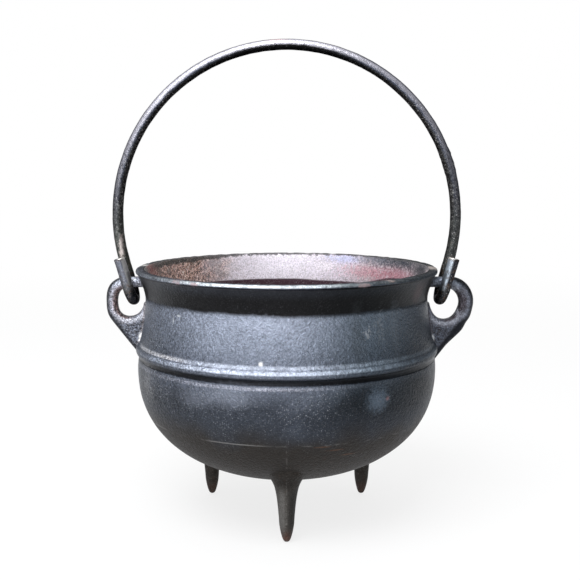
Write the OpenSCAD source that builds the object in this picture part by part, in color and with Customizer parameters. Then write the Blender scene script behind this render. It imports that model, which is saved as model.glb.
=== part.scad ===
// Three-legged cast-iron bean pot with a free-swinging round-bar bail.
// Millimetres. Z is up, the floor is z = 0 and the pot's axis is the Z axis.
// The front leg points to -Y and the two ears stand out along X.

/* [Pot body] */
// Height of the rim's top above the floor
pot_h = 210.5; // [205:0.5:215]
// Radius of the belly at its widest
belly_r = 125; // [122:0.5:128]
// Height of the widest part of the belly
belly_z = 126.7; // [122:0.5:132]
// Height of the underside of the belly
belly_bottom = 36.6; // [32:0.2:42]
// Roundness of the belly towards its foot, as a superellipse power
belly_pow_z = 2.23; // [2:0.01:2.5]
// Roundness of the belly towards its side, as a superellipse power
belly_pow_r = 2.29; // [2:0.01:2.5]
// Thickness of the iron
wall = 4.8; // [4:0.2:6]
// Thickness of the iron at the middle of the bottom
floor_t = 5.4; // [4.5:0.1:7]

/* [Neck and rim] */
// Radius outside at the neck crease
neck_r = 117.7; // [116:0.1:119]
// Height of the neck crease
neck_z = 186.7; // [184:0.1:189]
// Outer radius of the lip
lip_r = 125.5; // [124.5:0.1:126.5]
// Width of the flat ring on top of the lip, where a lid would rest
lip_flat = 5.8; // [4.5:0.1:6.5]
// Radius of the lip's rounded nose
lip_nose = 1.9; // [1.5:0.1:2.2]

/* [Bead] */
// Crest radius of the half-round bead below the neck wall
bead_r = 126.6; // [126:0.1:127.5]
// Height of the bead's centre
bead_z = 143.4; // [142:0.1:145]
// Radius of the bead's section
bead_sec = 4.4; // [3.8:0.1:4.8]
// Radius at the groove under the bead
groove_r = 124.1; // [123.5:0.1:124.5]

/* [Ears] */
// Distance of each eye's centre from the pot's axis
eye_x = 132.6; // [131:0.1:134]
// Height of each eye's centre
eye_z = 180.8; // [179:0.1:182]
// Radius of the eye, the hole that the bail hooks into
eye_r = 12.2; // [11.8:0.1:12.4]
// Radius of the round bar that the loop is cast as
loop_sec = 4.9; // [4.7:0.1:5]
// Radius of the loop's straight upper arm, where the hook hangs
arm_sec = 4.5; // [4:0.1:4.6]
// Thickness of the web between the loop and the body
web_t = 8.6; // [7:0.2:9.6]
// Slope of the web's lower edge, from the horizontal
web_slope = 52; // [48:1:56]

/* [Legs] */
// Distance of each leg from the pot's axis
leg_x = 77.8; // [74:0.2:82]
// Radius of the small worn flat at a foot's tip
foot_r = 2.2; // [1.8:0.1:2.6]

/* [Bail] */
// Radius of the round bar
bar_r = 4.65; // [4.3:0.05:4.7]
// Radius of the bow, at the middle of the bar
bow_r = 142.6; // [142:0.1:143.5]
// Height of the bow's centre
bow_z = 251.5; // [250:0.1:253]
// Angle that the bow runs on below its centre at each end
bow_below = 16; // [14:0.5:17]
// Radius of the hook's U bend, at the middle of the bar
hook_r = 10.6; // [10.5:0.1:10.8]
// Straight bar between the bow and the U bend
shank_l = 19.9; // [19.5:0.1:21]
// Length of the hook's free end, measured from the U bend
stub_l = 26.5; // [20:0.5:30]

/* [Hidden] */
$fn = 96;
iron = [0.20, 0.21, 0.23];
worn_iron = [0.27, 0.27, 0.28];
forged = [0.16, 0.16, 0.17];
bead_from = 148.2;             // the neck wall ends here, just above the bead
groove_z = bead_z - bead_sec;  // the belly starts here
bead_foot_r = 123.8;           // radius of the neck wall where it meets the bead
lip_face_r = lip_r - lip_nose - lip_flat;
throat_z = neck_z + 1.6;       // height of the throat's edge inside
throat_r = neck_r - wall;
arm_z = eye_z + eye_r + arm_sec + 0.1;  // the bail's hinge line
loop_r = eye_r + loop_sec;
web_x0 = 100;                  // the ear blank starts inside the body and is cut by it
web_edge_l = 46;               // long enough for the web's edge to reach the body
upset = 0.12;                  // the bar is this much fuller in the hook's straights
bite = 0.6;                    // overlap of the shank with the bow's end
bend_bite = 2;                 // degrees that the U bend runs into each straight
steps = 14;                    // facets down the belly's outline

// Points on an arc about [x, z]
function arc(x, z, r, a0, a1, n) =
    [for (i = [0 : n]) let (a = a0 + (a1 - a0) * i / n) [x + r * cos(a), z + r * sin(a)]];

// A quarter superellipse, from the side at height zc down to the axis at depth h
function bowl(r, h, zc, n) =
    [for (i = [0 : n]) let (a = 90 * i / n)
        [r * pow(cos(a), 2 / belly_pow_r), zc - h * pow(sin(a), 2 / belly_pow_z)]];

// Hollow flare from the neck crease up to the lip
function flare(r0, z0, r1, z1, power, n) =
    [for (i = [n : -1 : 0]) let (s = i / n) [r0 + (r1 - r0) * pow(s, power), z0 + (z1 - z0) * s]];

// Neck wall, upright at the crease and leaning out towards the bead
function neck(r0, r1, z1, n) =
    [for (i = [0 : n]) let (s = i / n) [r0 + (r1 - r0) * pow(s, 1.9), neck_z + (z1 - neck_z) * s]];

// Upper part of the belly, from the groove down to the widest height
function shoulder(r0, r1, z0, n) =
    [for (i = [0 : n - 1]) let (s = i / n) [r1 - (r1 - r0) * pow(1 - s, 2), z0 + (belly_z - z0) * s]];

nose_x = lip_r - lip_nose;
nose_z = pot_h - lip_nose;
nose_end = -55;                // the nose turns under as far as this angle
bead_x = bead_r - bead_sec;

function outer_line() = concat(
    [[0, pot_h], [nose_x, pot_h]],
    arc(nose_x, nose_z, lip_nose, 75, nose_end, 6),
    flare(neck_r, neck_z, nose_x + lip_nose * cos(nose_end) - 0.4,
          nose_z + lip_nose * sin(nose_end) - 0.2, 1.5, 9),
    neck(neck_r, bead_foot_r, bead_from, 7),
    arc(bead_x, bead_z, bead_sec, 60, -65, 8),
    shoulder(groove_r, belly_r, groove_z - 0.4, 4),
    bowl(belly_r, belly_z - belly_bottom, belly_z, steps),
    [[0, belly_bottom]]);

function inner_line() = concat(
    [[0, pot_h + 10], [lip_face_r, pot_h + 10], [lip_face_r, pot_h - 0.8]],
    flare(throat_r, throat_z, lip_face_r - 1.2, pot_h - 3, 1.35, 7),
    [[throat_r - 0.1, throat_z - 2.5]],
    neck(throat_r, bead_foot_r - wall, bead_from, 6),
    shoulder(bead_foot_r - wall + 0.5, belly_r - wall, groove_z, 4),
    bowl(belly_r - wall, belly_z - belly_bottom - floor_t, belly_z, steps));

// The body as if it were solid, which also trims the ears and legs
module body_form() {
    rotate_extrude() polygon(outer_line());
}

module hollow_form() {
    rotate_extrude() polygon(inner_line());
}

module pot_shell() {
    color(iron) difference() {
        body_form();
        hollow_form();
    }
}

// Web plate under the eye, as an outline in X and Z, from its round lower edge to the body
module web_outline() {
    edge = loop_r + loop_sec - web_t / 2;
    tip_x = eye_x + edge * sin(web_slope);
    tip_z = eye_z - edge * cos(web_slope);
    run = (tip_x - web_x0) / cos(web_slope);
    difference() {
        polygon([[eye_x, eye_z], [tip_x, tip_z], [web_x0, tip_z - run * sin(web_slope)],
                 [web_x0, eye_z]]);
        translate([eye_x, eye_z]) circle(r = eye_r + 0.6);
    }
}

module ear_blank() {
    // loop, from the upper arm round the outside to the body below the eye
    translate([eye_x, 0, eye_z]) rotate([90, 0, 0]) rotate([0, 0, -180])
        rotate_extrude(angle = 270) translate([loop_r, 0]) circle(r = loop_sec, $fn = 48);
    // upper arm, running in along X to the underside of the rim
    translate([web_x0, 0, arm_z]) rotate([0, 90, 0]) cylinder(r = arm_sec, h = eye_x - web_x0);
    // web, with a round lower edge
    rotate([90, 0, 0]) linear_extrude(height = web_t, center = true) web_outline();
    edge = loop_r + loop_sec - web_t / 2;
    translate([eye_x + edge * sin(web_slope), 0, eye_z - edge * cos(web_slope)])
        rotate([0, -90 - web_slope, 0]) cylinder(r = web_t / 2, h = web_edge_l);
}

module ear() {
    difference() {
        ear_blank();
        body_form();
    }
}

module right_ear() { color(iron) ear(); }
module left_ear() { color(iron) mirror([1, 0, 0]) ear(); }

// One round leg: a blunt point, a gentle taper and a flare into the belly
module leg() {
    tip = [[0, 0], [foot_r, 0], [3.1, 2], [4.2, 6.2], [5.3, 10], [6.1, 14.5]];
    shaft = [[6.5, 22], [7.1, 29], [7.9, 36], [8.9, 42]];
    root = [[9.9, 46], [11.4, 49.5], [13.4, 53], [16, 56.5], [16, 70], [0, 70]];
    difference() {
        translate([0, -leg_x, 0]) rotate_extrude() polygon(concat(tip, shaft, root));
        body_form();
    }
}

module front_leg() { color(worn_iron) leg(); }
module rear_left_leg() { color(worn_iron) rotate([0, 0, -120]) leg(); }
module rear_right_leg() { color(worn_iron) rotate([0, 0, 120]) leg(); }

// The hook at the end of the bow: shank behind the arm, U bend under it, free end in front.
// Its straights are a hair fuller than the bends, which run a few degrees into them.
module hook() {
    fuller_r = bar_r + upset;
    translate([0, 0, -shank_l]) cylinder(r = fuller_r, h = shank_l + bite);
    translate([0, -hook_r, -shank_l]) {
        rotate([-90, 0, 90]) rotate([0, 0, -bend_bite]) rotate_extrude(angle = 180 + 2 * bend_bite)
            translate([hook_r, 0]) circle(r = bar_r, $fn = 48);
        translate([0, -hook_r, 0]) cylinder(r = fuller_r, h = stub_l);
    }
}

module bail() {
    color(forged) translate([0, hook_r, bow_z]) {
        rotate([90, 0, 0]) rotate([0, 0, -bow_below])
            rotate_extrude(angle = 180 + 2 * bow_below) translate([bow_r, 0]) circle(r = bar_r, $fn = 48);
        for (side = [0, 1]) mirror([side, 0, 0])
            translate([bow_r * cos(bow_below), 0, -bow_r * sin(bow_below)])
                rotate([0, bow_below, 0]) hook();
    }
}

pot_shell();
left_ear();
right_ear();
front_leg();
rear_left_leg();
rear_right_leg();
bail();
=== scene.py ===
"""A three-legged cast-iron bean pot with a free-swinging round-bar bail.

Shell, ears and legs stand for one iron casting and ride on the body "pot". The bail is one
bent bar that rides on the body "bail". Every mesh is modelled in millimetres about the pot's
own axis and scaled to metres when it becomes an object.
"""
import logging
import math
from dataclasses import dataclass, field
from enum import Enum

import bmesh
import bpy
from mathutils import Matrix, Vector, noise


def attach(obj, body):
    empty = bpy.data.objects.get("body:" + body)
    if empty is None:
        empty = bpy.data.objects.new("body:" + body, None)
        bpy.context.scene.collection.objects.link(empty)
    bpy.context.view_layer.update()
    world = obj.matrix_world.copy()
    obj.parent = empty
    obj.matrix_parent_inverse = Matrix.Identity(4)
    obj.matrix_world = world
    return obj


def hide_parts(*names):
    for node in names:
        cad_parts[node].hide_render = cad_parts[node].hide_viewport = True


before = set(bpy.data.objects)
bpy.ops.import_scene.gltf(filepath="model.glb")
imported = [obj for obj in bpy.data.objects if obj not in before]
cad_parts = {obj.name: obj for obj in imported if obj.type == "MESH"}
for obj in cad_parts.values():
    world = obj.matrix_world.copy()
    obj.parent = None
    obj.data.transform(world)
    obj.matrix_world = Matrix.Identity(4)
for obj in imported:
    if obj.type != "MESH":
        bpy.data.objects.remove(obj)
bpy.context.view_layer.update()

LOG = logging.getLogger("bean_pot")
MM = 0.001
Line = list[tuple[float, float]]
Socket = bpy.types.NodeSocket
Colour = tuple[float, float, float]
Spot = tuple[Socket, Socket, Socket]


class Side(Enum):
    """The two sides of the pot, as the sign of X."""

    LEFT = -1
    RIGHT = 1


class Leg(Enum):
    """The three legs, as the turn about the pot's axis from the front one in degrees."""

    FRONT = 0
    REAR_LEFT = -120
    REAR_RIGHT = 120


# Meshes


def line_offset(line: Line, depth: float) -> Line:
    """Move an outline sideways along its own normals.

    Args:
        line: Points in radius and height, read from the top down along the outside.
        depth: How far into the metal each point moves.

    Returns:
        The moved points.
    """
    moved = []
    for i, (r, z) in enumerate(line):
        r0, z0 = line[max(i - 1, 0)]
        r1, z1 = line[min(i + 1, len(line) - 1)]
        run = math.hypot(r1 - r0, z1 - z0)
        moved.append((r + (z1 - z0) / run * depth, z - (r1 - r0) / run * depth))
    return moved


def chain(bm: bmesh.types.BMesh, points: list[Vector], closed: bool) -> list:
    """Add a chain of vertices and edges.

    Args:
        bm: The mesh to add to.
        points: The places of the vertices in order.
        closed: Whether the last vertex joins the first.

    Returns:
        The new vertices and edges.
    """
    verts = [bm.verts.new(p) for p in points]
    pairs = list(zip(verts, verts[1:])) + ([(verts[-1], verts[0])] if closed else [])
    return verts + [bm.edges.new(p) for p in pairs]


def spin(bm: bmesh.types.BMesh, geom: list, centre: Vector, axis: Vector, angle: float,
         steps: int) -> list:
    """Sweep edges round an axis without closing the sweep.

    Args:
        bm: The mesh that holds the edges.
        geom: Vertices and edges to sweep.
        centre: A point on the axis.
        axis: The direction of the axis.
        angle: The turn in degrees.
        steps: The number of rows of faces.

    Returns:
        The vertices and edges at the end of the sweep.
    """
    done = bmesh.ops.spin(bm, geom=geom, cent=centre, axis=axis, dvec=(0, 0, 0),
                          angle=math.radians(angle), steps=steps, use_merge=False,
                          use_normal_flip=False, use_duplicate=False)
    return [g for g in done["geom_last"] if not isinstance(g, bmesh.types.BMFace)]


def run_on(bm: bmesh.types.BMesh, geom: list, way: Vector, steps: int) -> list:
    """Extrude edges straight on in equal steps.

    Args:
        bm: The mesh that holds the edges.
        geom: Vertices and edges to extrude.
        way: The whole way that they go.
        steps: The number of rows of faces.

    Returns:
        The vertices and edges at the end.
    """
    for _ in range(steps):
        edges = [g for g in geom if isinstance(g, bmesh.types.BMEdge)]
        new = bmesh.ops.extrude_edge_only(bm, edges=edges)["geom"]
        geom = [g for g in new if not isinstance(g, bmesh.types.BMFace)]
        verts = [g for g in geom if isinstance(g, bmesh.types.BMVert)]
        bmesh.ops.translate(bm, vec=way / steps, verts=verts)
    return geom


def lathe(line: Line, steps: int) -> bmesh.types.BMesh:
    """Spin an outline that starts and ends on the Z axis into a closed solid.

    Args:
        line: Points in radius and height.
        steps: Number of faces round the axis.

    Returns:
        The new mesh.
    """
    bm = bmesh.new()
    geom = chain(bm, [Vector((r, 0, z)) for r, z in line], False)
    bmesh.ops.spin(bm, geom=geom, cent=(0, 0, 0), axis=(0, 0, 1), dvec=(0, 0, 0),
                   angle=math.tau, steps=steps, use_merge=True, use_normal_flip=False,
                   use_duplicate=False)
    bmesh.ops.remove_doubles(bm, verts=bm.verts, dist=0.001)
    bmesh.ops.recalc_face_normals(bm, faces=bm.faces)
    return bm


def cap(bm: bmesh.types.BMesh) -> None:
    """Close every open end of a mesh and point its faces outwards."""
    open_edges = [e for e in bm.edges if e.is_boundary]
    bmesh.ops.holes_fill(bm, edges=open_edges, sides=0)
    bmesh.ops.recalc_face_normals(bm, faces=bm.faces)


def join(into: bmesh.types.BMesh, other: bmesh.types.BMesh) -> None:
    """Copy one mesh into another and free it."""
    scratch = bpy.data.meshes.new("scratch")
    other.to_mesh(scratch)
    other.free()
    into.from_mesh(scratch)
    bpy.data.meshes.remove(scratch)


def eased(value: float) -> float:
    """Ease a share in and out between 0 and 1."""
    value = min(1.0, max(0.0, value))
    return value * value * (3 - 2 * value)


def fuse(bm: bmesh.types.BMesh, voxel: float, rounds: int) -> bmesh.types.BMesh:
    """Melt overlapping solids into one skin with soft inner corners, as a casting has.

    Args:
        bm: The overlapping closed solids, which are freed.
        voxel: The size of the new faces in millimetres.
        rounds: How often the skin is smoothed, which sets the size of the fillets.

    Returns:
        The fused mesh.
    """
    mesh = bpy.data.meshes.new("scratch")
    bm.to_mesh(mesh)
    bm.free()
    obj = bpy.data.objects.new("scratch", mesh)
    bpy.context.scene.collection.objects.link(obj)
    remesh = obj.modifiers.new("fuse", "REMESH")
    remesh.mode = "VOXEL"
    remesh.voxel_size = voxel
    made = bpy.data.meshes.new_from_object(
        obj.evaluated_get(bpy.context.evaluated_depsgraph_get()))
    fused = bmesh.new()
    fused.from_mesh(made)
    bpy.data.objects.remove(obj)
    for old in (mesh, made):
        bpy.data.meshes.remove(old)
    for _ in range(rounds):
        bmesh.ops.smooth_vert(fused, verts=fused.verts, factor=0.5, use_axis_x=True,
                              use_axis_y=True, use_axis_z=True)
    bmesh.ops.recalc_face_normals(fused, faces=fused.faces)
    return fused


def as_cast(bm: bmesh.types.BMesh) -> None:
    """Give the casting its slight waviness, the same for every piece at the same place."""
    for v in bm.verts:
        r = math.hypot(v.co.x, v.co.y)
        if r < 1:
            continue
        swell = 0.35 * noise.noise(v.co / 46) + 0.12 * noise.noise(v.co / 13)
        v.co.x += v.co.x / r * swell
        v.co.y += v.co.y / r * swell


def to_object(bm: bmesh.types.BMesh, name: str,
              finishes: list[bpy.types.Material]) -> bpy.types.Object:
    """Scale a millimetre mesh to metres and make it a smooth object.

    Args:
        bm: The mesh, which is freed.
        name: The piece's name.
        finishes: The materials of its slots.

    Returns:
        The new object.
    """
    bmesh.ops.scale(bm, vec=(MM, MM, MM), verts=bm.verts)
    mesh = bpy.data.meshes.new(name)
    bm.to_mesh(mesh)
    bm.free()
    mesh.shade_smooth()
    for finish in finishes:
        mesh.materials.append(finish)
    obj = bpy.data.objects.new(name, mesh)
    bpy.context.scene.collection.objects.link(obj)
    return obj


# Shader building


class Shade:
    """Places and joins shader nodes in one node tree."""

    def __init__(self, tree: bpy.types.NodeTree) -> None:
        """Start from an emptied tree."""
        tree.nodes.clear()
        self.tree = tree

    def add(self, kind: str, sockets: dict | None = None, **values: object) -> bpy.types.Node:
        """Add one node.

        Args:
            kind: The node's type.
            sockets: Values or other nodes' sockets by input name or number.
            **values: The node's own settings.

        Returns:
            The new node.
        """
        node = self.tree.nodes.new(kind)
        for key, value in values.items():
            setattr(node, key, value)
        for key, value in (sockets or {}).items():
            self.plug(node.inputs[key], value)
        return node

    def plug(self, socket: Socket, value: object) -> None:
        """Join a socket to an input, or set the input's value."""
        if isinstance(value, bpy.types.NodeSocket):
            self.tree.links.new(value, socket)
        elif isinstance(value, tuple) and socket.type == "RGBA" and len(value) == 3:
            socket.default_value = (*value, 1)
        else:
            socket.default_value = value

    def math(self, operation: str, *terms: object) -> Socket:
        """Work out one number, held between 0 and 1 if the operation ends in _C."""
        clamp = operation.endswith("_C")
        node = self.add("ShaderNodeMath", dict(enumerate(terms)),
                        operation=operation.removesuffix("_C"), use_clamp=clamp)
        return node.outputs[0]

    def span(self, value: object, low: float, high: float, out_low: float = 0,
             out_high: float = 1) -> Socket:
        """Ease a number from one range into another."""
        node = self.add("ShaderNodeMapRange", {0: value, 1: low, 2: high, 3: out_low,
                                               4: out_high}, interpolation_type="SMOOTHSTEP")
        return node.outputs[0]

    def band(self, value: object, rise: float, full: float, fade: float, end: float) -> Socket:
        """Mask a range of a number, with an eased border at each end."""
        return self.math("MULTIPLY", self.span(value, rise, full), self.span(value, fade, end, 1, 0))

    def hypot(self, first: object, second: object) -> Socket:
        """Return the length of a pair of numbers."""
        return self.math("SQRT", self.math("ADD", self.math("MULTIPLY", first, first),
                                           self.math("MULTIPLY", second, second)))

    def mix(self, share: object, first: object, second: object, blend: str = "MIX") -> Socket:
        """Mix two colours."""
        node = self.add("ShaderNodeMix", {0: share, 6: first, 7: second}, data_type="RGBA",
                        blend_type=blend)
        return node.outputs[2]

    def noise(self, vector: Socket, scale: object, detail: float = 2,
              roughness: float = 0.5) -> Socket:
        """Sample soft noise; the scale is in features per metre."""
        node = self.add("ShaderNodeTexNoise", {"Vector": vector, "Scale": scale,
                                               "Detail": detail, "Roughness": roughness})
        return node.outputs[0]

    def place(self) -> Socket:
        """Return the object's own coordinates."""
        return self.add("ShaderNodeTexCoord").outputs["Object"]

    def axes(self, vector: Socket) -> tuple[Socket, Socket, Socket]:
        """Split a vector into X, Y and Z."""
        node = self.add("ShaderNodeSeparateXYZ", {0: vector})
        return node.outputs[0], node.outputs[1], node.outputs[2]


@dataclass(frozen=True)
class Effect:
    """A shader group that several materials share."""

    name: str
    inputs: tuple[tuple[str, str, object], ...]
    outputs: tuple[tuple[str, str], ...]

    def start(self) -> tuple[Shade, dict[str, Socket], bpy.types.Node]:
        """Make the empty group.

        Returns:
            Its tree, its inputs by name and its output node.
        """
        tree = bpy.data.node_groups.new(self.name, "ShaderNodeTree")
        for label, kind, default in self.inputs:
            socket = tree.interface.new_socket(name=label, in_out="INPUT", socket_type=kind)
            socket.default_value = default
        for label, kind in self.outputs:
            tree.interface.new_socket(name=label, in_out="OUTPUT", socket_type=kind)
        shade = Shade(tree)
        entry = shade.add("NodeGroupInput")
        return shade, {s.name: s for s in entry.outputs if s.name}, shade.add("NodeGroupOutput")

    def use(self, shade: Shade, **sockets: object) -> dict[str, Socket]:
        """Place the group in a material.

        Args:
            shade: The material's tree.
            **sockets: Its inputs, with _ for each space in a name.

        Returns:
            Its outputs by name.
        """
        node = shade.add("ShaderNodeGroup", node_tree=bpy.data.node_groups[self.name])
        for key, value in sockets.items():
            shade.plug(node.inputs[key.replace("_", " ")], value)
        return {s.name: s for s in node.outputs}


FLOAT, VECTOR = "NodeSocketFloat", "NodeSocketVector"
GRAIN = Effect("sand grain", (("Place", VECTOR, (0, 0, 0)), ("Fineness", FLOAT, 850)),
               (("Height", FLOAT), ("Specks", FLOAT), ("Pits", FLOAT)))
DRIFT = Effect("tone drift", (("Place", VECTOR, (0, 0, 0)), ("Fineness", FLOAT, 30)),
               (("Broad", FLOAT), ("Mottle", FLOAT)))
MARK = Effect("mark", (("Place", VECTOR, (0, 0, 0)), ("Middle", VECTOR, (0, 0, 0)),
                       ("Stretch", VECTOR, (1, 1, 1)), ("Reach", FLOAT, 0.01),
                       ("Ragged", FLOAT, 0.4)), (("Mask", FLOAT),))


def build_grain() -> None:
    """Build the grain of sand-cast iron: fine bumps, pits and pale specks."""
    shade, given, out = GRAIN.start()
    place, fineness = given["Place"], given["Fineness"]
    fine = shade.noise(place, fineness, 3, 0.6)
    peel = shade.noise(place, shade.math("MULTIPLY", fineness, 0.52), 1, 0.5)
    dots = []
    for share, start in ((0.85, 0.50), (1.35, 0.15)):
        cells = shade.add("ShaderNodeTexVoronoi", {"Vector": place, "Scale": shade.math(
            "MULTIPLY", fineness, share)})
        draw = shade.axes(cells.outputs["Color"])
        near = shade.span(cells.outputs["Distance"], 0.10, 0.46, 1, 0)
        strength = shade.math("POWER", shade.span(draw[0], start, 1.0), 2.0)
        dots.append(shade.math("MULTIPLY", near, strength))
    specks = shade.math("MAXIMUM", dots[0], shade.math("MULTIPLY", dots[1], 0.75))
    pits = shade.math("MULTIPLY", near, shade.span(draw[1], 0.66, 0.92))
    height = shade.math("ADD", shade.math("MULTIPLY", fine, 0.75), shade.math("MULTIPLY", peel, 0.9))
    height = shade.math("SUBTRACT", height, shade.math("MULTIPLY", pits, 0.4))
    height = shade.math("ADD", height, shade.math("MULTIPLY", specks, 0.25))
    shade.plug(out.inputs["Height"], height)
    shade.plug(out.inputs["Specks"], specks)
    shade.plug(out.inputs["Pits"], pits)


def build_drift() -> None:
    """Build the slow change of tone over the iron and the mottle within it."""
    shade, given, out = DRIFT.start()
    broad = shade.noise(given["Place"], given["Fineness"], 2, 0.5)
    mottle = shade.noise(given["Place"], shade.math("MULTIPLY", given["Fineness"], 7), 4, 0.65)
    shade.plug(out.inputs["Broad"], shade.span(broad, 0.32, 0.68))
    shade.plug(out.inputs["Mottle"], shade.span(mottle, 0.3, 0.7))


def build_mark() -> None:
    """Build one soft-edged mark, such as a stain or a painted highlight, at a place on the object."""
    shade, given, out = MARK.start()
    away = shade.add("ShaderNodeVectorMath", {0: given["Place"], 1: given["Middle"]},
                     operation="SUBTRACT").outputs[0]
    away = shade.add("ShaderNodeVectorMath", {0: away, 1: given["Stretch"]},
                     operation="DIVIDE").outputs[0]
    length = shade.add("ShaderNodeVectorMath", {0: away}, operation="LENGTH").outputs["Value"]
    share = shade.math("DIVIDE", length, given["Reach"])
    rough = shade.noise(given["Place"], 420, 3, 0.6)
    share = shade.math("ADD", share, shade.math("MULTIPLY", shade.math("SUBTRACT", rough, 0.5),
                                                shade.math("MULTIPLY", given["Ragged"], 3)))
    shade.plug(out.inputs["Mask"], shade.span(share, 0.15, 1.15, 1, 0))


@dataclass(frozen=True)
class Mark:
    """A stain, scrape, painted highlight or painted shade on the iron, in millimetres."""

    middle: Colour
    reach: float
    colour: Colour
    share: float = 1.0
    stretch: Colour = (1, 1, 1)
    ragged: float = 0.4

    def lay(self, shade: Shade, place: Socket, under: Socket) -> Socket:
        """Lay the mark over a colour.

        Args:
            shade: The material's tree.
            place: The object's coordinates.
            under: The colour below.

        Returns:
            The new colour.
        """
        mask = MARK.use(shade, Place=place, Middle=tuple(MM * c for c in self.middle),
                        Stretch=self.stretch, Reach=self.reach * MM, Ragged=self.ragged)["Mask"]
        return shade.mix(shade.math("MULTIPLY", mask, self.share), under, self.colour)


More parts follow.
